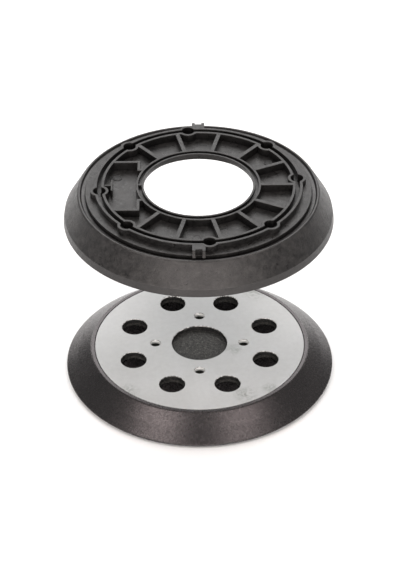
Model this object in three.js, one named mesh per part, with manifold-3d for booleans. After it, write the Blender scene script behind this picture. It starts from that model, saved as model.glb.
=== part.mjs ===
// Sanding pad for a random-orbit sander, with the dust shroud that sits over it.
// Millimetres, +Z up. The hook face rests on z = 0 and both round parts share the Z axis.
// The shroud is stored lifted clear of the pad, and seats with its rim 7 mm above z = 0.
import * as THREE from 'three';
import { mergeVertices } from 'three/addons/utils/BufferGeometryUtils.js';
import Module from 'manifold-3d';

const wasm = await Module();
wasm.setup();
const { Manifold, Mesh: SolidMesh } = wasm;

// ---- driving dimensions ---------------------------------------------------------------
const PAD_R = 63.5;            // 127 mm (5 inch) sanding pad
const PLATE_R = 49.7;
const PLATE_TOP = 12.0;
const PLATE_T = 2.3;
const LIP_R = 51.7;            // rubber lip that stands round the plate
const RECESS_R = 13.2;         // seat for the sander's bearing hub
const HOOK_T = 1.0;
const HOOK_R = 62.0;
const CORE_R = 44.0;
const CORE_T = 1.5;
const GAP = 0.3;               // air between neighbouring pieces

const DUST_HOLES = 8;
const DUST_R = 6.1;
const DUST_PCD_R = 33.7;
const DUST_START = 22.5;       // degrees
const SCREW_HOLES = 4;
const SCREW_R = 2.5;
const SCREW_PCD_R = 21.0;
const SCREW_HEAD_R = 4.4;      // driver access from below

const SHROUD_Z = 85.0;         // height of the shroud's rim above the hook face, as stored
const SHROUD_TOP = 18.0;       // top of the walls above the shroud's own rim
const SKIRT_R = 61.8;
const DECK_R = 51.4;
const DECK_Z = 15.2;
const DECK_T = 2.4;
const VALLEY_Z = 13.3;         // skirt's surface next to the deck
const POCKET_Z = 14.4;
const BAY_Z = 13.8;            // floor of the wide bay on the -X side
const BELOW_Z = 12.9;          // underside
const WALL_A = [45.9, 47.4];   // outer wall of the round channel
const WALL_B = [42.7, 44.2];   // inner wall of the round channel
const WALL_C = [27.3, 28.4];   // wall at the inner end of the ribs
const CHANNEL_Z = 14.7;
const CHANNEL_MID = 45.05;
const COLLAR_R = 24.8;         // centre hole
const COLLAR_LOW = 15.5;       // lower edge of the hole
const GROOVE_Z = 16.5;         // floor of the narrow groove by the collar
const RIB_T = 2.0;
const BAY_WALL_T = 1.5;
const RIB_ANGLES = [0, 25, 50, 77, 103, 130, 231, 257, 283, 309, 334];
const SOCKET_R = 3.0;          // round sockets on the channel
const SOCKET_WALL = 1.05;
const SOCKET_ANGLES = [6, 45];  // repeated every quarter turn
const BAY_BACK_Y = 18.8;
const BAY_FRONT_Y = -19.8;
const BAY_INNER_X = -27.2;
const BAY_STUBS = [12.3, -12.0];
const LEDGE_W = 1.1;           // skirt's ledge under the edge of the deck
const CONE_TOP = [55.1, 14.1];  // upper end of the skirt's cone, [r, z]
const CATCH_LEG_X = 2.2;       // each leg's distance from the catch's middle
const CATCH_LEG_T = 1.4;
const CATCH_BAR_R = 50.6;      // outer edge of the bar between the legs
const CATCH_R = 53.4;          // tips of the legs

const SEGMENTS = 72;
const HOLE_SEGMENTS = 20;

// ---- solids ---------------------------------------------------------------------------
function toSolid(geometry) {
  const bare = geometry.clone();
  for (const name of Object.keys(bare.attributes)) {
    if (name !== 'position') bare.deleteAttribute(name);
  }
  const welded = mergeVertices(bare, 1e-4);
  const index = welded.index.array;
  const triangles = [];
  for (let i = 0; i < index.length; i += 3) {
    const [a, b, c] = [index[i], index[i + 1], index[i + 2]];
    if (a !== b && b !== c && c !== a) triangles.push(a, b, c);
  }
  const build = (list) => new Manifold(new SolidMesh({
    numProp: 3,
    vertProperties: new Float32Array(welded.attributes.position.array),
    triVerts: new Uint32Array(list),
  }));
  const solid = build(triangles);
  if (solid.volume() > 0) return solid;
  const turned = [];
  for (let i = 0; i < triangles.length; i += 3) {
    turned.push(triangles[i], triangles[i + 2], triangles[i + 1]);
  }
  return build(turned);
}

function toMesh(name, solid, color, roughness, metalness) {
  const data = solid.getMesh();
  const geometry = new THREE.BufferGeometry();
  geometry.setAttribute('position', new THREE.BufferAttribute(
    new Float32Array(data.vertProperties), 3));
  geometry.setIndex(new THREE.BufferAttribute(new Uint32Array(data.triVerts), 1));
  geometry.computeVertexNormals();
  const mesh = new THREE.Mesh(geometry,
    new THREE.MeshStandardMaterial({ color, roughness, metalness }));
  mesh.name = name;
  return mesh;
}

// A closed [r, z] outline turned about Z.
function turned(outline, segments = SEGMENTS) {
  const points = [...outline, outline[0]].map(([r, z]) => new THREE.Vector2(r, z));
  const geometry = new THREE.LatheGeometry(points, segments);
  geometry.rotateX(Math.PI / 2);
  return toSolid(geometry);
}

// An upright cylinder from z0 to z1.
function post(radius, z0, z1, x = 0, y = 0, segments = HOLE_SEGMENTS) {
  const geometry = new THREE.CylinderGeometry(radius, radius, z1 - z0, segments);
  geometry.rotateX(Math.PI / 2);
  geometry.translate(x, y, (z0 + z1) / 2);
  return toSolid(geometry);
}

// A block given by its low and high corners.
function block([x0, y0, z0], [x1, y1, z1]) {
  const geometry = new THREE.BoxGeometry(x1 - x0, y1 - y0, z1 - z0);
  geometry.translate((x0 + x1) / 2, (y0 + y1) / 2, (z0 + z1) / 2);
  return toSolid(geometry);
}

function ring(r0, r1, z0, z1) {
  return turned([[r0, z0], [r1, z0], [r1, z1], [r0, z1]]);
}

const radians = (degrees) => degrees * Math.PI / 180;

// Posts evenly spaced on a circle.
function circleOfPosts(count, start, circleR, radius, z0, z1) {
  return Array.from({ length: count }, (_, i) => {
    const a = radians(start + i * 360 / count);
    return post(radius, z0, z1, circleR * Math.cos(a), circleR * Math.sin(a));
  });
}

const dustHoles = (radius, z0, z1) => (
  circleOfPosts(DUST_HOLES, DUST_START, DUST_PCD_R, radius, z0, z1));
const screwHoles = (radius, z0, z1) => (
  circleOfPosts(SCREW_HOLES, 0, SCREW_PCD_R, radius, z0, z1));

function without(solid, holes) {
  return solid.subtract(Manifold.union(holes));
}

// ---- the sanding pad ------------------------------------------------------------------
function hookDisc() {
  const disc = turned([[0, 0], [HOOK_R, 0], [HOOK_R, HOOK_T], [0, HOOK_T]]);
  return without(disc, [
    ...dustHoles(DUST_R + 0.2, -1, HOOK_T + 1),
    ...screwHoles(SCREW_HEAD_R, -1, HOOK_T + 1),
  ]);
}

const PLATE_LOW = PLATE_TOP - PLATE_T;
const SEAT_Z = PLATE_LOW - GAP;              // where the plate beds on the cushion
const CORE_LOW = SEAT_Z - CORE_T;
const POCKET_UNDER_CORE = CORE_LOW - GAP;

// Soft cone with a lip round the plate and a shallow pocket for the core disc.
function padCushion() {
  const low = HOOK_T + GAP;
  const cone = turned([
    [0, low], [PAD_R - 0.5, low], [PAD_R, low + 0.5], [PAD_R - 0.1, low + 0.9],
    [LIP_R + 0.1, PLATE_TOP - 0.5], [LIP_R - 0.3, PLATE_TOP - 0.1],
    [PLATE_R + GAP, PLATE_TOP - 0.1], [PLATE_R + GAP, SEAT_Z],
    [CORE_R + GAP, SEAT_Z], [CORE_R + GAP, POCKET_UNDER_CORE], [0, POCKET_UNDER_CORE],
  ]);
  return without(cone, [
    ...dustHoles(DUST_R + 0.2, 0, PLATE_TOP),
    ...screwHoles(SCREW_HEAD_R, 0, PLATE_TOP),
  ]);
}

// Stiff disc under the plate; the middle of it is the floor of the hub recess.
function coreDisc() {
  const disc = turned([[0, CORE_LOW], [CORE_R, CORE_LOW], [CORE_R, SEAT_Z], [0, SEAT_Z]]);
  return without(disc, [
    ...dustHoles(DUST_R + 0.2, 0, PLATE_TOP),
    ...screwHoles(SCREW_R + 0.1, 0, PLATE_TOP),
  ]);
}

function backingPlate() {
  const edge = 0.25;
  const plate = turned([
    [RECESS_R, PLATE_LOW], [PLATE_R, PLATE_LOW], [PLATE_R, PLATE_TOP - edge],
    [PLATE_R - edge, PLATE_TOP], [RECESS_R + edge, PLATE_TOP], [RECESS_R, PLATE_TOP - edge],
  ]);
  return without(plate, [
    ...dustHoles(DUST_R, 0, PLATE_TOP + 1),
    ...screwHoles(SCREW_R, 0, PLATE_TOP + 1),
  ]);
}

// ---- the dust shroud, drawn with its rim on z = 0 ------------------------------------
// Flexible cone. Its inner edge is a valley round the frame's deck, with a ledge under the deck.
function shroudSkirt() {
  const [coneR, coneZ] = CONE_TOP;
  const inner = DECK_R + GAP;
  const ledgeTop = DECK_Z - DECK_T - GAP;
  return turned([
    [SKIRT_R - 1.6, 0], [SKIRT_R - 0.3, 0], [SKIRT_R, 0.3], [SKIRT_R - 0.6, 3.8], [coneR, coneZ],
    [coneR - 0.6, coneZ + 0.5], [coneR - 1.2, coneZ + 0.5], [coneR - 1.8, VALLEY_Z + 0.2],
    [inner, VALLEY_Z], [inner, ledgeTop], [inner - LEDGE_W, ledgeTop],
    [inner - LEDGE_W, ledgeTop - 1.2],
    [coneR - 0.9, ledgeTop - 1.2], [SKIRT_R - 2.7, 3.6],
  ]);
}

function frameBase() {
  const top = SHROUD_TOP;
  const step = WALL_A[1] + 0.9;               // the underside steps up here, outwards
  const inner = WALL_C[1] - 0.4;
  return turned([
    [COLLAR_R + 0.3, COLLAR_LOW], [inner, COLLAR_LOW], [inner, BELOW_Z + 0.6],
    [inner + 0.8, BELOW_Z], [step, BELOW_Z], [step, DECK_Z - DECK_T], [DECK_R, DECK_Z - DECK_T],
    [DECK_R, DECK_Z - 0.3], [DECK_R - 0.3, DECK_Z], [WALL_A[1], DECK_Z], [WALL_A[1], top],
    [WALL_A[0], top], [WALL_A[0], CHANNEL_Z], [WALL_B[1], CHANNEL_Z], [WALL_B[1], top],
    [WALL_B[0], top], [WALL_B[0], POCKET_Z], [WALL_C[1], POCKET_Z], [WALL_C[1], top],
    [WALL_C[0], top], [WALL_C[0], GROOVE_Z], [COLLAR_R + 1, GROOVE_Z], [COLLAR_R + 1, top],
    [COLLAR_R, top], [COLLAR_R, top - 1.4], [COLLAR_R + 0.3, top - 1.8],
  ]);
}

// Straight wall between two plan points, from just inside the floor up to z1.
function wall([x0, y0], [x1, y1], thickness, z1 = SHROUD_TOP, z0 = BELOW_Z + 0.4) {
  const length = Math.hypot(x1 - x0, y1 - y0);
  const geometry = new THREE.BoxGeometry(length, thickness, z1 - z0);
  geometry.rotateZ(Math.atan2(y1 - y0, x1 - x0));
  geometry.translate((x0 + x1) / 2, (y0 + y1) / 2, (z0 + z1) / 2);
  return toSolid(geometry);
}

function ribs() {
  return RIB_ANGLES.map((degrees) => {
    const [c, s] = [Math.cos(radians(degrees)), Math.sin(radians(degrees))];
    const [from, to] = [WALL_C[1] - 0.5, WALL_B[0] + 0.5];
    return wall([from * c, from * s], [to * c, to * s], RIB_T);
  });
}

// Walls of the wide bay on the -X side, with the small tee rib that stands in it.
function bayWalls() {
  const outerX = (y) => -Math.sqrt((WALL_B[0] + 0.6) ** 2 - y ** 2);
  const innerX = (y) => -Math.sqrt((WALL_C[1] - 0.5) ** 2 - y ** 2);
  const corner = BAY_WALL_T / 2;
  const walls = [];
  [BAY_BACK_Y, BAY_FRONT_Y].forEach((y, i) => {
    const stub = BAY_STUBS[i];
    const out = Math.sign(y) * corner;
    walls.push(wall([outerX(y), y], [BAY_INNER_X + corner, y], BAY_WALL_T));
    walls.push(wall([BAY_INNER_X, y + out], [BAY_INNER_X, stub - out], BAY_WALL_T));
    walls.push(wall([BAY_INNER_X - corner, stub], [innerX(stub), stub], BAY_WALL_T));
  });
  walls.push(wall([-42.9, 0.3], [-39.0, 0.3], 1.0, SHROUD_TOP - 0.4));
  walls.push(wall([-39.3, -4.0], [-39.3, 4.4], 0.9, SHROUD_TOP - 0.4));
  return walls;
}

// The bay's floor lies lower than the other pockets.
function bayFloorCut() {
  return ring(WALL_C[1], WALL_B[0], BAY_Z, SHROUD_TOP + 1).intersect(
    block([-46, BAY_FRONT_Y, 0], [-BAY_BACK_Y, BAY_BACK_Y, 30]));
}

function socketPosts(radius, z0, z1) {
  return SOCKET_ANGLES.flatMap((start) => (
    circleOfPosts(4, start, CHANNEL_MID, radius, z0, z1)));
}

// One leg of a catch: it runs out over the deck's edge and slopes down at its tip.
function catchLeg(x, turnedBy) {
  const [low, over] = [DECK_Z - 1, CONE_TOP[1] + 0.5 + GAP];
  const outline = new THREE.Shape([
    [WALL_A[0] + 0.9, low], [DECK_R - 0.4, low], [DECK_R - 0.4, over + 0.05],
    [CATCH_R, over + 0.05], [CATCH_R - 1.7, SHROUD_TOP], [WALL_A[0] + 0.9, SHROUD_TOP],
  ].map(([r, z]) => new THREE.Vector2(r, z)));
  const geometry = new THREE.ExtrudeGeometry(outline, { depth: CATCH_LEG_T, bevelEnabled: false });
  geometry.translate(0, 0, -CATCH_LEG_T / 2);
  geometry.rotateX(Math.PI / 2);              // outline's height becomes Z
  geometry.rotateZ(radians(turnedBy));
  geometry.translate(x, 0, 0);
  return toSolid(geometry);
}

// Two legs and the bar that joins them, out across the deck from the channel wall.
function catches() {
  const parts = [];
  const half = CATCH_LEG_X + CATCH_LEG_T / 2;
  for (const side of [1, -1]) {
    parts.push(catchLeg(-CATCH_LEG_X, 90 * side), catchLeg(CATCH_LEG_X, 90 * side));
    const [from, to] = [side * (WALL_A[0] + 0.9), side * CATCH_BAR_R].sort((a, b) => a - b);
    parts.push(block([-half, from, DECK_Z - 1], [half, to, SHROUD_TOP]));
  }
  return parts;
}

// Round ejector marks left in three pocket floors.
function ejectorMarks() {
  return [[-37.1, 11.4, BAY_Z], [32.3, 22.5, POCKET_Z], [-0.8, -36.9, POCKET_Z]]
    .map(([x, y, z]) => post(2.1, z - 0.6, z + 0.25, x, y, 16));
}

function shroudFrame() {
  const top = SHROUD_TOP;
  const body = Manifold.union([
    frameBase().subtract(bayFloorCut()), ...ribs(), ...bayWalls(), ...catches(),
    ...socketPosts(SOCKET_R + SOCKET_WALL, DECK_Z - 2.0, top), ...ejectorMarks(),
    wall([-WALL_C[0] - 0.3, 0], [-COLLAR_R - 0.6, 0], 0.9, top, COLLAR_LOW + 0.4),
  ]);
  const opened = body.subtract(Manifold.union([
    ring(WALL_B[1], WALL_A[0], CHANNEL_Z, top + 1),
    ...socketPosts(SOCKET_R, BELOW_Z + 0.9, top + 1),
  ]));
  // the channel floor carries on across each socket as a narrow strip
  return opened.add(ring(CHANNEL_MID - 0.55, CHANNEL_MID + 0.55, BELOW_Z + 0.5, CHANNEL_Z));
}

// ---- assembly -------------------------------------------------------------------------
const group = new THREE.Group();
group.name = 'sander_pad_and_shroud';
group.add(
  toMesh('hook_disc', hookDisc(), 0x2a2a2c, 0.95, 0.0),
  toMesh('pad_cushion', padCushion(), 0x26262a, 0.75, 0.0),
  toMesh('core_disc', coreDisc(), 0x3a3735, 0.9, 0.0),
  toMesh('backing_plate', backingPlate(), 0xc9cacb, 0.38, 0.85),
  toMesh('shroud_skirt', shroudSkirt().translate([0, 0, SHROUD_Z]), 0x55524f, 0.7, 0.0),
  toMesh('shroud_frame', shroudFrame().translate([0, 0, SHROUD_Z]), 0x4c4a49, 0.6, 0.0),
);

export default group;
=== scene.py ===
"""Sanding pad and dust shroud of an orbital sander, dressed for rendering.

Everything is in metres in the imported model's own frame. Outlines are written in millimetres
and scaled once, by MM, where the meshes are made.
"""
import math

import bmesh
import bpy
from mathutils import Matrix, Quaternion, Vector


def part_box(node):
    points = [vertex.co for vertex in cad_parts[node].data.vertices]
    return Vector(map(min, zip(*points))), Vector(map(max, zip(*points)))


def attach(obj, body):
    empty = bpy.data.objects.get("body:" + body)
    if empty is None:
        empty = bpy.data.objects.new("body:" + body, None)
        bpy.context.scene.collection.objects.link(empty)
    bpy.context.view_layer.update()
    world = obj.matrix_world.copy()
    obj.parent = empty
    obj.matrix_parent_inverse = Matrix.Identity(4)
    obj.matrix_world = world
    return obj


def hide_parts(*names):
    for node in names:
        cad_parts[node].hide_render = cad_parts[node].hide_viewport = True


MM = 0.001

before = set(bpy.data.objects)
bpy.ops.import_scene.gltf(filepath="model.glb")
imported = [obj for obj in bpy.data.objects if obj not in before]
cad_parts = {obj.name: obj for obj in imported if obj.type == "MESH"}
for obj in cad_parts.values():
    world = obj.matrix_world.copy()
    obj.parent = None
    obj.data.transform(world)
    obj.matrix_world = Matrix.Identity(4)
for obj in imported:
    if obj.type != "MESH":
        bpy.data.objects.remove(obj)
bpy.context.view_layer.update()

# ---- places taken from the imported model, in millimetres ----
PLATE_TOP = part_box("backing_plate")[1].z / MM
PLATE_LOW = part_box("backing_plate")[0].z / MM
PLATE_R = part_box("backing_plate")[1].x / MM
CUSHION_LOW, CUSHION_TOP = (corner.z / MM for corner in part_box("pad_cushion"))
PAD_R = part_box("pad_cushion")[1].x / MM
HOOK_R, HOOK_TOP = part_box("hook_disc")[1].x / MM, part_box("hook_disc")[1].z / MM
CORE_LOW, CORE_TOP = (corner.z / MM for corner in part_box("core_disc"))
CORE_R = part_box("core_disc")[1].x / MM
RIM_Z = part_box("shroud_skirt")[0].z / MM
SKIRT_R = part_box("shroud_skirt")[1].x / MM
DECK_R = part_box("shroud_frame")[1].x / MM

# ---- the model's own dimensions, as in the CAD; shroud heights are above its rim ----
DUST_HOLES, DUST_START, DUST_PCD_R, DUST_R = 8, 22.5, 33.7, 6.1
SCREW_HOLES, SCREW_PCD_R, SCREW_R, SCREW_HEAD_R = 4, 21.0, 2.5, 4.4
RECESS_R = 13.2
LIP_R = 51.7
WALL_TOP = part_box("shroud_frame")[1].z / MM - RIM_Z
DECK_Z, CHANNEL_Z, POCKET_Z, BAY_Z, BELOW_Z = 15.2, 14.7, 14.4, 13.8, 12.9
DECK_T, VALLEY_Z = 2.4, 13.3
CHANNEL_MID = 45.05
WALL_A_R, WALL_B_R, CHANNEL_WALL_T = 46.65, 43.45, 1.5      # radii are the walls' mid-lines
WALL_C = (27.3, 28.4)
COLLAR_R, COLLAR_LOW, GROOVE_Z = 24.8, 15.5, 16.5
LEDGE_W = 1.1                   # skirt ledge under the edge of the deck
CONE_TOP_R, CONE_TOP_Z = 55.1, 14.1
SOCKET_R, SOCKET_WALL = 3.0, 1.05
SOCKET_ANGLES = sorted(start + 90 * k for start in (6, 45) for k in range(4))
RIB_ANGLES = (0, 25, 50, 77, 103, 130, 231, 257, 283, 309, 334)
RIB_T, BAY_WALL_T = 2.0, 1.5
BAY_BACK_Y, BAY_FRONT_Y, BAY_INNER_X = 18.8, -19.8, -27.2
BAY_STUBS = (12.3, -12.0)
CATCH_LEG_X, CATCH_LEG_T, CATCH_BAR_R, CATCH_R = 2.2, 1.4, 50.6, 53.4
GAP = 0.3                       # air between neighbouring pieces

# ---- details of the dressed shapes, in millimetres ----
DUST_CUT_R = DUST_R + 0.2       # the dust holes below the plate are a little wider
PLATE_EASE = 0.25
DISC_EASE = 0.2
WALL_EASE = 0.22
CONE_WAIST_R, CONE_WAIST_Z = 57.8, 6.9      # middle of the pad's slightly hollow cone
SOCKET_CLEAR = 3.65             # degrees of channel floor left out each side of a socket
TEE_X, TEE_END_X = -39.3, -42.9             # the small tee in the wide bay

TURN_STEPS = 288
RECESS_STEPS, DUST_STEPS, SCREW_STEPS, POST_STEPS = 160, 96, 64, 64
MARK_STEPS = 40
SMOOTH_ANGLE = math.radians(38)
ON_AXIS = 1e-9


# ---- camera ---------------------------------------------------------------------------
CAMERA_DISTANCE = 1.100
CAMERA_ELEVATION = 37.94        # of the line from the plate's centre to the camera
CAMERA_AIM = 36.51              # of the line of sight, so the shroud comes into the frame
CAMERA_ROLL = -0.4
CAMERA_LENS = 145.7
CAMERA_SHIFT = 0.0015
SENSOR_WIDTH = 36


def direction(elevation):
    """Unit vector from the object towards a camera in front of it."""
    e = math.radians(elevation)
    return Vector((0, -math.cos(e), math.sin(e)))


def add_camera():
    data = bpy.data.cameras.new("camera")
    data.lens = CAMERA_LENS
    data.sensor_width = SENSOR_WIDTH
    data.shift_x = CAMERA_SHIFT
    data.clip_start, data.clip_end = 0.01, 20
    camera = bpy.data.objects.new("camera", data)
    camera.location = Vector((0, 0, PLATE_TOP * MM)) + direction(CAMERA_ELEVATION) * CAMERA_DISTANCE
    camera.rotation_mode = "QUATERNION"
    look = (-direction(CAMERA_AIM)).to_track_quat("-Z", "Y")
    camera.rotation_quaternion = look @ Quaternion((0, 0, 1), math.radians(CAMERA_ROLL))
    bpy.context.collection.objects.link(camera)
    bpy.context.scene.camera = camera


# ---- outlines and meshes --------------------------------------------------------------
def rounded(outline, steps=4):
    """A closed outline of (x, y) or (x, y, corner radius) points, with its corners rounded."""
    points = []
    for i, corner in enumerate(outline):
        here = Vector(corner[:2])
        radius = corner[2] if len(corner) > 2 else 0
        to_last = Vector(outline[i - 1][:2]) - here
        to_next = Vector(outline[(i + 1) % len(outline)][:2]) - here
        if radius <= 0 or to_last.length == 0 or to_next.length == 0:
            points.append(here)
            continue
        reach = radius / math.tan(to_last.angle(to_next) / 2)
        reach = min(reach, to_last.length * 0.48, to_next.length * 0.48)
        start = here + to_last.normalized() * reach
        end = here + to_next.normalized() * reach
        for k in range(steps + 1):
            t = k / steps
            points.append(start * (1 - t) ** 2 + here * 2 * t * (1 - t) + end * t * t)
    return points


def bridge(bm, first, second):
    """Faces between two closed loops of the same length; equal vertices make a triangle."""
    for i in range(len(first)):
        j = (i + 1) % len(first)
        loop = []
        for vert in (first[i], first[j], second[j], second[i]):
            if vert not in loop:
                loop.append(vert)
        if len(loop) > 2:
            bm.faces.new(loop)


def turn(bm, outline_at, angles, lift=0.0, closed=True):
    """Turns a closed (r, z) outline round Z. outline_at gives the outline for each angle."""
    rings, poles = [], {}
    for i, a in enumerate(angles):
        ring = []
        for k, (r, z) in enumerate(outline_at(i, a)):
            if abs(r) < ON_AXIS:
                if k not in poles:
                    poles[k] = bm.verts.new((0, 0, (z + lift) * MM))
                ring.append(poles[k])
            else:
                ring.append(bm.verts.new((r * math.cos(a) * MM, r * math.sin(a) * MM,
                                          (z + lift) * MM)))
        rings.append(ring)
    for i in range(len(rings) - 1):
        bridge(bm, rings[i], rings[i + 1])
    if closed:
        bridge(bm, rings[-1], rings[0])
    else:
        bm.faces.new(rings[0])
        bm.faces.new(rings[-1][::-1])


def full_turn(steps=TURN_STEPS):
    return [2 * math.pi * i / steps for i in range(steps)]


def lathe(bm, outline, lift=0.0, steps=TURN_STEPS):
    points = [tuple(p) for p in rounded(outline)]
    turn(bm, lambda i, a: points, full_turn(steps), lift)


def sector(bm, outline, start, end, lift=0.0):
    """Part of a turn, from start to end in degrees, with flat ends."""
    steps = max(3, int((end - start) / 1.5))
    angles = [math.radians(start + (end - start) * i / steps) for i in range(steps + 1)]
    points = [tuple(p) for p in rounded(outline)]
    turn(bm, lambda i, a: points, angles, lift, closed=False)


def sweep(bm, path, width, low, top, closed=False, lift=0.0):
    """A standing wall along a plan path, with a rounded top."""
    half = width / 2
    section = rounded([(-half, low), (half, low), (half, top, WALL_EASE),
                       (-half, top, WALL_EASE)], 3)
    count = len(path)
    rings = []
    for i, (x, y) in enumerate(path):
        here = Vector((x, y))
        last = Vector(path[i - 1]) if closed or i else None
        nxt = Vector(path[(i + 1) % count]) if closed or i < count - 1 else None
        before = (here - last).normalized() if last is not None else None
        after = (nxt - here).normalized() if nxt is not None else None
        before, after = before or after, after or before
        along = (before + after).normalized()
        side = Vector((along.y, -along.x))
        stretch = 1 / max(0.5, along.dot(before))
        rings.append([bm.verts.new(((here.x + side.x * o * stretch) * MM,
                                    (here.y + side.y * o * stretch) * MM, (z + lift) * MM))
                      for o, z in section])
    for i in range(count - 1):
        bridge(bm, rings[i], rings[i + 1])
    if closed:
        bridge(bm, rings[-1], rings[0])
    else:
        bm.faces.new(rings[0])
        bm.faces.new(rings[-1][::-1])


def polar(radius, degrees):
    a = math.radians(degrees)
    return radius * math.cos(a), radius * math.sin(a)


def finish_object(name, bm_or_mesh):
    """Makes an object, with outward faces, smooth shading and sharp edges where it turns."""
    if isinstance(bm_or_mesh, bpy.types.Mesh):
        mesh = bm_or_mesh
        mesh.name = name
        bm = bmesh.new()
        bm.from_mesh(mesh)
    else:
        bm, mesh = bm_or_mesh, bpy.data.meshes.new(name)
    bmesh.ops.recalc_face_normals(bm, faces=bm.faces)
    bm.to_mesh(mesh)
    bm.free()
    mesh.shade_smooth()
    mesh.set_sharp_from_angle(angle=SMOOTH_ANGLE)
    obj = bpy.data.objects.new(name, mesh)
    bpy.context.collection.objects.link(obj)
    return obj


def even_shading(obj):
    """Flat faces stay flat next to rounded edges."""
    modifier = obj.modifiers.new("even_shading", "WEIGHTED_NORMAL")
    modifier.keep_sharp = True
    modifier.weight = 60


def applied(obj):
    """The object's mesh with its modifiers applied; the object itself is removed."""
    graph = bpy.context.evaluated_depsgraph_get()
    mesh = bpy.data.meshes.new_from_object(obj.evaluated_get(graph))
    bpy.data.objects.remove(obj)
    return mesh


def combined(name, target, cutters):
    """Target with each cutter taken away; the cutters are used up."""
    for i, cutter in enumerate(cutters):
        modifier = target.modifiers.new("step_%d" % i, "BOOLEAN")
        modifier.operation = "DIFFERENCE"
        modifier.solver = "EXACT"
        modifier.object = cutter
    mesh = applied(target)
    for cutter in cutters:
        bpy.data.objects.remove(cutter)
    return finish_object(name, mesh)


def posts(name, count, start, circle_r, radius, low, top):
    """One object holding evenly spaced round posts."""
    bm = bmesh.new()
    for i in range(count):
        x, y = polar(circle_r, start + 360 * i / count)
        rings = []
        for z in (low, top):
            rings.append([bm.verts.new(((x + radius * math.cos(a)) * MM,
                                        (y + radius * math.sin(a)) * MM, z * MM))
                          for a in full_turn(POST_STEPS)])
        bridge(bm, rings[0], rings[1])
        bm.faces.new(rings[0][::-1])
        bm.faces.new(rings[1])
    return finish_object(name, bm)


def dust_posts():
    return posts("dust_cut", DUST_HOLES, DUST_START, DUST_PCD_R, DUST_CUT_R, -1, PLATE_TOP + 1)


def screw_posts(radius):
    return posts("screw_cut", SCREW_HOLES, 0, SCREW_PCD_R, radius, -1, PLATE_TOP + 1)


# ---- materials ------------------------------------------------------------------------
class Shader:
    """A small helper for writing node materials."""

    def __init__(self, name):
        self.material = bpy.data.materials.new(name)
        self.material.use_nodes = True
        self.tree = self.material.node_tree
        self.tree.nodes.clear()
        self.output = self.node("ShaderNodeOutputMaterial")
        self.surface = self.node("ShaderNodeBsdfPrincipled")
        self.link(self.surface.outputs["BSDF"], self.output.inputs["Surface"])
        self.coords = self.node("ShaderNodeTexCoord").outputs["Object"]

    def node(self, kind, **settings):
        made = self.tree.nodes.new(kind)
        for key, value in settings.items():
            setattr(made, key, value)
        return made

    def link(self, source, target):
        self.tree.links.new(source, target)

    def put(self, socket, value):
        if isinstance(value, bpy.types.NodeSocket):
            self.link(value, socket)
        elif isinstance(value, (tuple, list)) and len(value) == 3 and socket.type == "RGBA":
            socket.default_value = (*value, 1)
        else:
            socket.default_value = value

    def base(self, **values):
        for key, value in values.items():
            self.put(self.surface.inputs[key.replace("_", " ")], value)

    def stretched(self, scale):
        mapping = self.node("ShaderNodeMapping")
        self.link(self.coords, mapping.inputs["Vector"])
        mapping.inputs["Scale"].default_value = scale
        return mapping.outputs["Vector"]

    def noise(self, scale, detail=4, rough=0.55, distortion=0.0, source=None):
        made = self.node("ShaderNodeTexNoise")
        self.link(source or self.coords, made.inputs["Vector"])
        for key, value in (("Scale", scale), ("Detail", detail), ("Roughness", rough),
                           ("Distortion", distortion)):
            made.inputs[key].default_value = value
        return made.outputs["Fac"]

    def cells(self, scale, randomness=1.0):
        made = self.node("ShaderNodeTexVoronoi", feature="F1")
        self.link(self.coords, made.inputs["Vector"])
        made.inputs["Scale"].default_value = scale
        made.inputs["Randomness"].default_value = randomness
        return made.outputs["Distance"]

    def ramp(self, fac, *stops):
        """A colour ramp through (position, value or colour) stops."""
        made = self.node("ShaderNodeValToRGB")
        self.link(fac, made.inputs["Fac"])
        elements = made.color_ramp.elements
        while len(elements) < len(stops):
            elements.new(0.5)
        for element, (position, value) in zip(elements, stops):
            element.position = position
            colour = value if isinstance(value, (tuple, list)) else (value,) * 3
            element.color = (*colour, 1)
        return made.outputs["Color"]

    def maths(self, operation, a, b=0.0, clamp=False):
        made = self.node("ShaderNodeMath", operation=operation, use_clamp=clamp)
        self.put(made.inputs[0], a)
        self.put(made.inputs[1], b)
        return made.outputs[0]

    def mix(self, fac, a, b, blend="MIX"):
        made = self.node("ShaderNodeMix", data_type="RGBA", blend_type=blend)
        self.put(made.inputs["Factor"], fac)
        colours = [s for s in made.inputs if s.type == "RGBA"]
        self.put(colours[0], a)
        self.put(colours[1], b)
        return [s for s in made.outputs if s.type == "RGBA"][0]

    def part(self, axis, source=None):
        made = self.node("ShaderNodeSeparateXYZ")
        self.link(source or self.coords, made.inputs["Vector"])
        return made.outputs[axis]

    def radius(self):
        """Distance from the Z axis."""
        flat = self.stretched((1, 1, 0))
        made = self.node("ShaderNodeVectorMath", operation="LENGTH")
        self.link(flat, made.inputs[0])
        return made.outputs["Value"]

    def near(self, place, reach):
        """1 at a place in millimetres, falling to 0 at reach."""
        made = self.node("ShaderNodeVectorMath", operation="DISTANCE")
        self.link(self.coords, made.inputs[0])
        made.inputs[1].default_value = [v * MM for v in place]
        return self.maths("SUBTRACT", 1.0, self.maths("DIVIDE", made.outputs["Value"], reach * MM),
                          clamp=True)

    def upward(self):
        """1 on faces that look up, 0 on faces that stand or look down."""
        geometry = self.node("ShaderNodeNewGeometry")
        return self.maths("MAXIMUM", self.part("Z", geometry.outputs["Normal"]), 0.0)

    def bump(self, height, strength, distance):
        made = self.node("ShaderNodeBump")
        self.link(height, made.inputs["Height"])
        made.inputs["Strength"].default_value = strength
        made.inputs["Distance"].default_value = distance
        if self.surface.inputs["Normal"].is_linked:
            self.link(self.surface.inputs["Normal"].links[0].from_socket, made.inputs["Normal"])
        self.link(made.outputs["Normal"], self.surface.inputs["Normal"])


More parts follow.
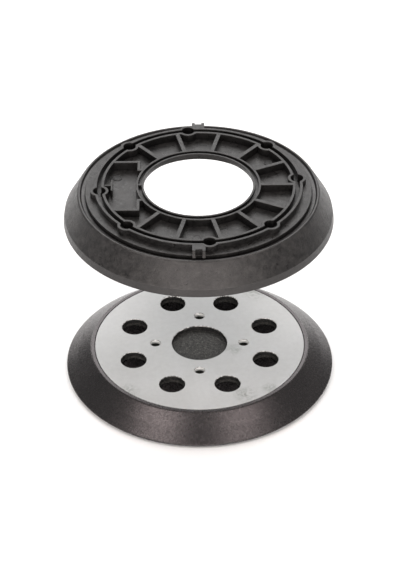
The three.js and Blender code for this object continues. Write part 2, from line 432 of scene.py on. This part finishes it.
def plate_metal():
    """Pale satin plate: a cloudy bloom, hairlines, handling marks, hole walls with painted shade
    (the screw holes' with a painted highlight) and chipped edges with painted glints.
    """
    s = Shader("plate_metal")
    cloud = s.noise(38, 5, 0.6, 0.6)
    fine = s.noise(420, 3, 0.6)
    hair = s.noise(60, 6, 0.7, source=s.stretched((40, 3, 1)))
    colour = s.ramp(cloud, (0.3, (0.49, 0.495, 0.49)), (0.7, (0.56, 0.567, 0.567)))
    colour = s.mix(0.35, colour, s.ramp(fine, (0.3, 0.6), (0.7, 0.8)), "MULTIPLY")
    smudge = None
    for x, y, reach in ((27, 40, 8), (21, -39, 7), (-33, -36, 6), (16, -5, 5), (33, -35, 5)):
        spot = s.near((x, y, PLATE_TOP), reach)
        smudge = spot if smudge is None else s.maths("MAXIMUM", smudge, spot)
    stain = s.maths("MULTIPLY", smudge, s.ramp(s.noise(300, 5, 0.7, 1.5), (0.42, 0.0), (0.62, 1.0)))
    colour = s.mix(s.maths("MULTIPLY", stain, 0.95), colour, (0.16, 0.17, 0.15))
    height = s.part("Z")
    below = s.maths("LESS_THAN", height, (PLATE_TOP - 0.45) * MM)
    r = s.radius()
    lit_screw_walls = s.maths("MULTIPLY", s.maths("GREATER_THAN", r, (SCREW_PCD_R - 4) * MM),
                   s.maths("LESS_THAN", r, (SCREW_PCD_R + 4) * MM))
    # Painted shade: the hole walls below the top face are painted near black, away from the screw
    # holes.
    colour = s.mix(s.maths("MULTIPLY", below, s.maths("SUBTRACT", 1.0, lit_screw_walls)), colour,
                   s.ramp(s.noise(900, 4, 0.7), (0.5, (0.006, 0.006, 0.006)),
                          (0.78, (0.07, 0.068, 0.062))))
    # Painted highlight: the screw hole walls are painted near white.
    colour = s.mix(s.maths("MULTIPLY", below, lit_screw_walls), colour, (0.93, 0.93, 0.91))
    edge = s.maths("MULTIPLY", s.maths("SUBTRACT", 1.0, below),
                   s.maths("LESS_THAN", height, (PLATE_TOP - 0.06) * MM))
    edge = s.maths("MULTIPLY", edge, s.maths("LESS_THAN", r, (PLATE_R - 4) * MM))
    # Light and dark flecks on the eased hole edges: partly real chips, partly a painted highlight
    # on the rims.
    chips_and_rim_glints = s.ramp(s.noise(1500, 3, 0.8), (0.46, (0.03, 0.03, 0.03)), (0.56, (0.95, 0.95, 0.93)))
    colour = s.mix(edge, colour, chips_and_rim_glints)
    s.base(Base_Color=colour, Metallic=0.0,
           Roughness=s.ramp(s.maths("ADD", cloud, s.maths("MULTIPLY", hair, 0.4)),
                            (0.4, 0.46), (1.0, 0.62)))
    s.bump(hair, 0.05, 0.00004)
    s.bump(fine, 0.06, 0.00005)
    return s.material


def pad_rubber():
    """Black moulded rubber with a soft sheen, fine pores and light scuffs."""
    s = Shader("pad_rubber")
    broad = s.noise(30, 4, 0.6, 0.8)
    grain = s.noise(2600, 3, 0.6)
    scuff = s.ramp(s.noise(240, 6, 0.72, 2.0), (0.58, 0.0), (0.72, 1.0))
    colour = s.ramp(broad, (0.3, (0.011, 0.011, 0.011)), (0.7, (0.019, 0.018, 0.018)))
    colour = s.mix(s.maths("MULTIPLY", scuff, 0.35), colour, (0.06, 0.055, 0.052))
    speck = s.ramp(s.cells(520), (0.0, 1.0), (0.035, 0.0))
    colour = s.mix(s.maths("MULTIPLY", speck, 0.5), colour, (0.25, 0.24, 0.23))
    s.base(Base_Color=colour, Roughness=s.ramp(s.noise(700, 4, 0.7), (0.35, 0.2), (0.68, 0.34)),
           Specular_IOR_Level=0.55, Specular_Tint=(1.0, 0.88, 0.9))
    s.bump(grain, 0.3, 0.00008)
    s.bump(s.noise(1300, 5, 0.75), 0.22, 0.00016)
    s.bump(s.noise(160, 4, 0.6), 0.08, 0.0002)
    return s.material


def core_fibre():
    """Dark pressed fibre, scuffed in rings by the hub."""
    s = Shader("core_fibre")
    fibre = s.noise(900, 6, 0.75, 2.5)
    clumps = s.noise(170, 4, 0.6, 1.2)
    rings = s.maths("SINE", s.maths("ADD", s.maths("MULTIPLY", s.radius(), 2300.0),
                                    s.maths("MULTIPLY", clumps, 16.0)))
    colour = s.ramp(fibre, (0.38, (0.010, 0.010, 0.010)), (0.52, (0.036, 0.035, 0.033)),
                    (0.64, (0.17, 0.165, 0.15)))
    worn = s.maths("MULTIPLY", s.maths("ADD", rings, 1.0), 0.13)
    colour = s.mix(s.maths("MULTIPLY", worn, clumps), colour, (0.13, 0.125, 0.115))
    s.base(Base_Color=colour, Roughness=0.85)
    s.bump(fibre, 0.6, 0.00025)
    return s.material


def hook_fabric():
    """Black nylon hook pile on a woven backing."""
    s = Shader("hook_fabric")
    pile = s.cells(1050, randomness=0.55)
    weave = s.noise(700, 3, 0.6, source=s.stretched((1, 2.4, 1)))
    colour = s.ramp(pile, (0.05, (0.075, 0.075, 0.08)), (0.5, (0.012, 0.012, 0.013)))
    colour = s.mix(0.3, colour, s.ramp(weave, (0.3, 0.01), (0.7, 0.06)))
    s.base(Base_Color=colour, Roughness=0.8, Sheen_Weight=0.3, Sheen_Roughness=0.5)
    s.bump(s.ramp(pile, (0.0, 1.0), (0.45, 0.0)), 0.8, 0.0006)
    return s.material


def moulded(name, dark, light, rough, top_light_tint, shine):
    """Charcoal moulded plastic or rubber: cloudy flow, a fine spark grain, dust and a painted
    highlight on upper faces.
    """
    s = Shader(name)
    flow = s.noise(70, 5, 0.6, 1.0)
    mottle = s.noise(520, 6, 0.75, 0.9)
    dust = s.ramp(s.noise(240, 8, 0.8, 0.25), (0.45, 0.0), (0.72, 1.0))
    dust_and_light_on_tops = s.maths("MINIMUM", s.maths("MULTIPLY", s.upward(), 2.2), 1.0)
    colour = s.ramp(flow, (0.3, dark), (0.72, light))
    colour = s.mix(0.7, colour, s.ramp(mottle, (0.34, 0.25), (0.66, 1.25)), "MULTIPLY")
    # Painted highlight: faces that look up are tinted lighter by the tint given for the tops.
    painted_top_light = s.maths("POWER", s.upward(), 6.0)
    colour = s.mix(painted_top_light, colour, s.mix(1.0, colour, top_light_tint, "MULTIPLY"))
    # Dust on upward faces only: partly real dust, partly a painted highlight on the tops.
    colour = s.mix(s.maths("MULTIPLY", s.maths("MULTIPLY", dust, dust_and_light_on_tops), 0.2), colour,
                   (0.13, 0.122, 0.115))
    speck = s.ramp(s.cells(300), (0.0, 1.0), (0.03, 0.0))
    colour = s.mix(s.maths("MULTIPLY", speck, 0.45), colour, (0.4, 0.39, 0.37))
    s.base(Base_Color=colour, Roughness=s.ramp(mottle, (0.3, rough - 0.14), (0.7, rough + 0.16)),
           Specular_IOR_Level=shine, Specular_Tint=(1.0, 0.965, 0.955))
    s.bump(s.noise(2200, 3, 0.65), 0.26, 0.00007)
    s.bump(mottle, 0.42, 0.0003)
    s.bump(s.noise(210, 4, 0.6), 0.12, 0.00025)
    return s.material


# ---- pieces ---------------------------------------------------------------------------
def dress(obj, body, material, slot, *nodes):
    obj.data.materials.clear()
    obj.data.materials.append(material)
    even_shading(obj)
    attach(obj, body)
    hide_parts(*nodes)


def circle_points(radius, steps, x=0.0, y=0.0):
    return [(x + radius * math.cos(a), y + radius * math.sin(a)) for a in full_turn(steps)]


# ---- the sanding pad ------------------------------------------------------------------
def make_plate():
    """The plate is one filled plan outline with its holes, given thickness and eased edges."""
    curve = bpy.data.curves.new("plate", "CURVE")
    curve.dimensions = "2D"
    curve.fill_mode = "BOTH"
    curve.extrude = ((PLATE_TOP - PLATE_LOW) / 2 - PLATE_EASE) * MM
    curve.bevel_depth = PLATE_EASE * MM
    curve.bevel_resolution = 3
    curve.offset = -PLATE_EASE * MM
    loops = [circle_points(PLATE_R, TURN_STEPS), circle_points(RECESS_R, RECESS_STEPS)]
    for i in range(DUST_HOLES):
        centre = polar(DUST_PCD_R, DUST_START + 360 / DUST_HOLES * i)
        loops.append(circle_points(DUST_R, DUST_STEPS, *centre))
    for i in range(SCREW_HOLES):
        centre = polar(SCREW_PCD_R, 360 / SCREW_HOLES * i)
        loops.append(circle_points(SCREW_R, SCREW_STEPS, *centre))
    for loop in loops:
        spline = curve.splines.new("POLY")
        spline.points.add(len(loop) - 1)
        for point, (x, y) in zip(spline.points, loop):
            point.co = (x * MM, y * MM, 0, 1)
        spline.use_cyclic_u = True
    holder = bpy.data.objects.new("plate_outline", curve)
    bpy.context.collection.objects.link(holder)
    bpy.context.view_layer.update()
    mesh = applied(holder)
    middle = (PLATE_TOP + PLATE_LOW) / 2 * MM
    for vert in mesh.vertices:
        vert.co.z += middle
    bm = bmesh.new()
    bm.from_mesh(mesh)
    bmesh.ops.remove_doubles(bm, verts=bm.verts, dist=1e-6)
    return finish_object("plate_face", bm)


def make_cushion():
    bm = bmesh.new()
    lathe(bm, [
        (0, CUSHION_LOW), (PAD_R - 0.5, CUSHION_LOW, 0.3), (PAD_R, CUSHION_LOW + 0.5, 0.4),
        (PAD_R - 0.1, CUSHION_LOW + 0.9, 0.5), (CONE_WAIST_R, CONE_WAIST_Z, 6.0),
        (LIP_R + 0.25, CUSHION_TOP - 0.5, 0.5), (LIP_R - 0.15, CUSHION_TOP, 0.3),
        (PLATE_R + GAP, CUSHION_TOP, 0.25), (PLATE_R + GAP, CORE_TOP), (CORE_R + GAP, CORE_TOP),
        (CORE_R + GAP, CORE_LOW - GAP), (0, CORE_LOW - GAP),
    ])
    cone = finish_object("cone", bm)
    return combined("pad_cone", cone, [dust_posts(), screw_posts(SCREW_HEAD_R)])


def make_disc(name, radius, low, top, screw_r):
    bm = bmesh.new()
    lathe(bm, [(0, low), (radius, low, DISC_EASE), (radius, top, DISC_EASE), (0, top)])
    disc = finish_object(name + "_blank", bm)
    return combined(name, disc, [dust_posts(), screw_posts(screw_r)])


# ---- the shroud -----------------------------------------------------------------------
def make_skirt():
    bm = bmesh.new()
    inner = DECK_R + GAP
    ledge = DECK_Z - DECK_T - GAP
    lathe(bm, [
        (SKIRT_R - 1.6, 0, 0.2), (SKIRT_R - 0.2, 0, 0.3), (SKIRT_R, 0.35, 0.3),
        (SKIRT_R - 0.55, 3.8, 0.8), (CONE_TOP_R, CONE_TOP_Z, 1.2),
        (CONE_TOP_R - 0.6, CONE_TOP_Z + 0.5, 0.4), (CONE_TOP_R - 1.2, CONE_TOP_Z + 0.5, 0.5),
        (CONE_TOP_R - 1.8, VALLEY_Z + 0.2, 0.5), (inner, VALLEY_Z, 0.1), (inner, ledge),
        (inner - LEDGE_W, ledge, 0.2), (inner - LEDGE_W, ledge - 1.2, 0.2),
        (CONE_TOP_R - 0.9, ledge - 1.2, 0.8), (SKIRT_R - 2.7, 3.6, 2.0),
    ], RIM_Z)
    return finish_object("skirt_cone", bm)


def channel_wall_path(circle_r, outward):
    """Mid-line of a channel wall: a circle that bows round each socket."""
    bow = SOCKET_R + SOCKET_WALL / 2
    meet = math.acos((circle_r ** 2 + CHANNEL_MID ** 2 - bow ** 2) / (2 * circle_r * CHANNEL_MID))
    path = []
    for i, degrees in enumerate(SOCKET_ANGLES):
        a = math.radians(degrees)
        centre = Vector(polar(CHANNEL_MID, degrees))
        enter = Vector((circle_r * math.cos(a - meet), circle_r * math.sin(a - meet))) - centre
        first = math.atan2(enter.y, enter.x) - a
        first = (first + math.pi) % (2 * math.pi) - math.pi
        last = -first if outward else -first - 2 * math.pi
        for k in range(19):
            b = a + first + (last - first) * k / 18
            path.append((centre.x + bow * math.cos(b), centre.y + bow * math.sin(b)))
        following = math.radians(SOCKET_ANGLES[(i + 1) % len(SOCKET_ANGLES)])
        span = (following - a) % (2 * math.pi) - 2 * meet
        steps = max(4, int(math.degrees(span) / 1.2))
        for k in range(1, steps):
            b = a + meet + span * k / steps
            path.append((circle_r * math.cos(b), circle_r * math.sin(b)))
    return path


def plan_turn(bm, path, outline_for):
    """A turned solid whose outline follows a plan path that runs once round the axis."""
    angles = [math.atan2(y, x) for x, y in path]
    turn(bm, lambda i, a: outline_for(math.hypot(*path[i])), angles, RIM_Z)


def pocket_floor(wall_path):
    """Floor of the pockets, let down in the wide bay."""
    bm = bmesh.new()
    inner = WALL_C[1] - 0.5
    low = BELOW_Z + 0.3
    plan_turn(bm, wall_path, lambda r: [(inner, low), (r, low), (r, POCKET_Z), (inner, POCKET_Z)])
    floor = finish_object("floor", bm)
    cutters = []
    for low_x, high_x, low_y, high_y in ((-47, BAY_INNER_X, BAY_FRONT_Y, BAY_BACK_Y),
                                         (-30, -25, BAY_STUBS[1], BAY_STUBS[0])):
        cut = bmesh.new()
        bmesh.ops.create_cube(cut, size=1)
        for vert in cut.verts:
            vert.co.x = (low_x if vert.co.x < 0 else high_x) * MM
            vert.co.y = (low_y if vert.co.y < 0 else high_y) * MM
            vert.co.z = (RIM_Z + (BAY_Z if vert.co.z < 0 else WALL_TOP)) * MM
        cutters.append(finish_object("bay_cut", cut))
    return combined("floor", floor, cutters)


def frame_rings(bm, wall_a):
    """The round parts of the frame: collar, inner groove, underside, deck and channel floor."""
    lathe(bm, [
        (COLLAR_R + 0.3, COLLAR_LOW, 0.2), (WALL_C[1] - 0.2, COLLAR_LOW, 0.1),
        (WALL_C[1] - 0.2, POCKET_Z - 0.4), (WALL_C[1], POCKET_Z - 0.5),
        (WALL_C[1], WALL_TOP, WALL_EASE),
        (WALL_C[0], WALL_TOP, WALL_EASE), (WALL_C[0], GROOVE_Z, 0.1), (COLLAR_R + 1, GROOVE_Z, 0.1),
        (COLLAR_R + 1, WALL_TOP, WALL_EASE), (COLLAR_R, WALL_TOP, WALL_EASE),
        (COLLAR_R, WALL_TOP - 1.4, 0.1),
        (COLLAR_R + 0.3, WALL_TOP - 1.8, 0.1),
    ], RIM_Z)
    inner, outer = WALL_C[1] - 0.4, WALL_A_R + 1.65
    lathe(bm, [(inner, BELOW_Z + 0.6, 0.1), (inner + 0.8, BELOW_Z, 0.2), (outer, BELOW_Z, 0.2),
               (outer, BELOW_Z + 0.8), (inner, BELOW_Z + 0.8)], RIM_Z)
    deck_low = DECK_Z - DECK_T
    plan_turn(bm, wall_a, lambda r: [(r, deck_low), (DECK_R, deck_low), (DECK_R, DECK_Z - 0.3),
                                     (DECK_R - 0.09, DECK_Z - 0.09), (DECK_R - 0.3, DECK_Z),
                                     (r, DECK_Z)])
    low = BELOW_Z + 0.4
    for here, following in zip(SOCKET_ANGLES, SOCKET_ANGLES[1:] + [SOCKET_ANGLES[0] + 360]):
        sector(bm, [(WALL_B_R + 0.4, low), (WALL_A_R - 0.4, low), (WALL_A_R - 0.4, CHANNEL_Z),
                    (WALL_B_R + 0.4, CHANNEL_Z)], here + SOCKET_CLEAR,
               following - SOCKET_CLEAR, RIM_Z)
    strip = (CHANNEL_MID - 0.55, CHANNEL_MID + 0.55)
    lathe(bm, [(strip[0], low), (strip[1], low), (strip[1], CHANNEL_Z - 0.02),
               (strip[0], CHANNEL_Z - 0.02)], RIM_Z)


def catch_leg(bm, x, side):
    """A catch's leg: it runs out over the deck's edge and slopes down at its tip."""
    over = CONE_TOP_Z + 0.5 + 0.35
    outline = rounded([
        (WALL_A_R, DECK_Z - 1), (DECK_R - 0.4, DECK_Z - 1), (DECK_R - 0.4, over),
        (CATCH_R, over, 0.2), (CATCH_R - 1.7, WALL_TOP - 0.02, 0.5), (WALL_A_R, WALL_TOP - 0.02)])
    half = CATCH_LEG_T / 2
    rings = []
    for offset, inset in ((-half, 0.12), (-half + 0.12, 0), (half - 0.12, 0), (half, 0.12)):
        middle = Vector((49, WALL_TOP - 1.5))
        loop = [p + (middle - p).normalized() * inset for p in outline]
        rings.append([bm.verts.new(((x + offset * side) * MM, side * p.x * MM,
                                    (p.y + RIM_Z) * MM)) for p in loop])
    for first, second in zip(rings, rings[1:]):
        bridge(bm, first, second)
    bm.faces.new(rings[0])
    bm.faces.new(rings[-1][::-1])


def frame_walls(bm, wall_a, wall_b):
    """Every standing wall: the channel's two, the ribs, the bay and the two catches."""
    low, rib_top = BELOW_Z + 0.5, WALL_TOP - 0.04
    for path in (wall_a, wall_b):
        sweep(bm, path, CHANNEL_WALL_T - 0.15, low, WALL_TOP, closed=True, lift=RIM_Z)
    inner, outer = WALL_C[1] - 0.5, WALL_B_R - 0.25
    for degrees in RIB_ANGLES:
        sweep(bm, [polar(inner, degrees), polar(outer, degrees)], RIB_T, low, rib_top, lift=RIM_Z)
    for y, stub in zip((BAY_BACK_Y, BAY_FRONT_Y), BAY_STUBS):
        sweep(bm, [(-math.sqrt(outer ** 2 - y * y), y), (BAY_INNER_X, y), (BAY_INNER_X, stub),
                   (-math.sqrt(inner ** 2 - stub * stub), stub)], BAY_WALL_T, low, rib_top,
              lift=RIM_Z)
    tee_top = WALL_TOP - 0.4
    sweep(bm, [(TEE_END_X, 0.3), (-39.0, 0.3)], 1.0, low, tee_top, lift=RIM_Z)
    sweep(bm, [(TEE_X, -4.0), (TEE_X, 4.4)], 0.9, low, tee_top - 0.04, lift=RIM_Z)
    sweep(bm, [(-WALL_C[0] - 0.3, 0), (-COLLAR_R - 0.6, 0)], 0.9, COLLAR_LOW + 0.4, rib_top,
          lift=RIM_Z)
    half = CATCH_LEG_X + CATCH_LEG_T / 2
    for side in (1, -1):
        for x in (-CATCH_LEG_X, CATCH_LEG_X):
            catch_leg(bm, x, side)
        bar_y = side * (WALL_A_R + CATCH_BAR_R) / 2
        sweep(bm, [(-half + 0.02, bar_y), (half - 0.02, bar_y)], CATCH_BAR_R - WALL_A_R, DECK_Z - 1,
              rib_top, lift=RIM_Z)


def make_frame():
    wall_a = channel_wall_path(WALL_A_R, True)
    wall_b = channel_wall_path(WALL_B_R, False)
    floor = pocket_floor(wall_b)
    bm = bmesh.new()
    bm.from_mesh(floor.data)
    bpy.data.objects.remove(floor)
    frame_rings(bm, wall_a)
    frame_walls(bm, wall_a, wall_b)
    for x, y, z in ((-37.1, 11.4, BAY_Z), (32.3, 22.5, POCKET_Z), (-0.8, -36.9, POCKET_Z)):
        ejector_mark(bm, x, y, z)
    return finish_object("frame_body", bm)


def ejector_mark(bm, x, y, z):
    """A round mark with a raised rim and a dished middle."""
    before = set(bm.verts)
    lathe(bm, [(0, z - 0.3), (2.15, z - 0.3), (2.15, z + 0.2, 0.15), (1.8, z + 0.2, 0.15),
               (1.3, z + 0.03, 0.2), (0, z + 0.08)], RIM_Z, MARK_STEPS)
    for vert in set(bm.verts) - before:
        vert.co.x += x * MM
        vert.co.y += y * MM


# ---- stage, in metres -----------------------------------------------------------------
FLOOR_SIZE = 3.0
FLOOR_DROP = 0.0002             # below the hook face
WORLD_STRENGTH = 0.25
LIGHT_AIM_Z = 0.05


def add_floor():
    bm = bmesh.new()
    bmesh.ops.create_grid(bm, x_segments=8, y_segments=8, size=FLOOR_SIZE)
    floor = finish_object("floor_sheet", bm)
    s = Shader("floor_paper")
    s.base(Base_Color=s.ramp(s.noise(3, 2), (0.3, 0.93), (0.7, 0.95)), Roughness=0.9,
           Specular_IOR_Level=0.1)
    floor.data.materials.append(s.material)
    floor.location.z = -FLOOR_DROP


def area_light(name, azimuth, elevation, distance, size, radiance, colour=(1, 1, 1)):
    """A soft box aimed at the object; azimuth is counted from the front towards +X."""
    a, e = math.radians(azimuth), math.radians(elevation)
    place = Vector((math.sin(a) * math.cos(e), -math.cos(a) * math.cos(e), math.sin(e))) * distance
    data = bpy.data.lights.new(name, "AREA")
    data.shape = "RECTANGLE"
    data.size, data.size_y = size
    data.energy = radiance * math.pi * size[0] * size[1]
    data.color = colour
    light = bpy.data.objects.new(name, data)
    light.location = place + Vector((0, 0, LIGHT_AIM_Z))
    light.rotation_mode = "QUATERNION"
    light.rotation_quaternion = (-place).to_track_quat("-Z", "Y")
    bpy.context.collection.objects.link(light)


def add_lights():
    world = bpy.data.worlds.new("studio")
    world.use_nodes = True
    background = world.node_tree.nodes["Background"]
    background.inputs["Color"].default_value = (1, 1, 1, 1)
    background.inputs["Strength"].default_value = WORLD_STRENGTH
    bpy.context.scene.world = world
    bpy.context.scene.view_settings.view_transform = "Standard"
    warm = (1.0, 0.94, 0.91)
    area_light("ceiling", 180, 80, 1.4, (1.0, 1.0), 2.4)
    area_light("back", 180, 38, 1.8, (2.6, 1.1), 3.3)
    area_light("front", 0, 13, 1.2, (2.0, 0.42), 6.0, warm)
    for name, azimuth, radiance in (("front_left", -50, 7.6), ("front_right", 50, 6.0)):
        area_light(name, azimuth, 57, 1.5, (0.7, 0.4), radiance, warm)


# ---- scene ----------------------------------------------------------------------------
add_camera()

dress(make_plate(), "pad", plate_metal(), "plate_metal", "backing_plate")
cushion = make_cushion()
dress(cushion, "pad", pad_rubber(), "pad_rubber", "pad_cushion")
dress(make_disc("core_face", CORE_R, CORE_LOW, CORE_TOP, SCREW_R + 0.1), "pad", core_fibre(),
      "core_fibre", "core_disc")
dress(make_disc("hook_face", HOOK_R, 0.0, HOOK_TOP, SCREW_HEAD_R), "pad", hook_fabric(),
      "hook_fabric", "hook_disc")
dress(make_skirt(), "shroud",
      moulded("skirt_rubber", (0.008, 0.0076, 0.0076), (0.019, 0.018, 0.018), rough=0.38,
              top_light_tint=(1.0, 1.0, 1.0), shine=0.5),
      "skirt_rubber", "shroud_skirt")
# The frame's upward faces are tinted lighter: a painted highlight.
dress(make_frame(), "shroud",
      moulded("frame_plastic", (0.006, 0.0058, 0.0058), (0.017, 0.0163, 0.016), rough=0.34,
              top_light_tint=(1.15, 1.13, 1.12), shine=0.3),
      "frame_plastic", "shroud_frame")

add_floor()
add_lights()
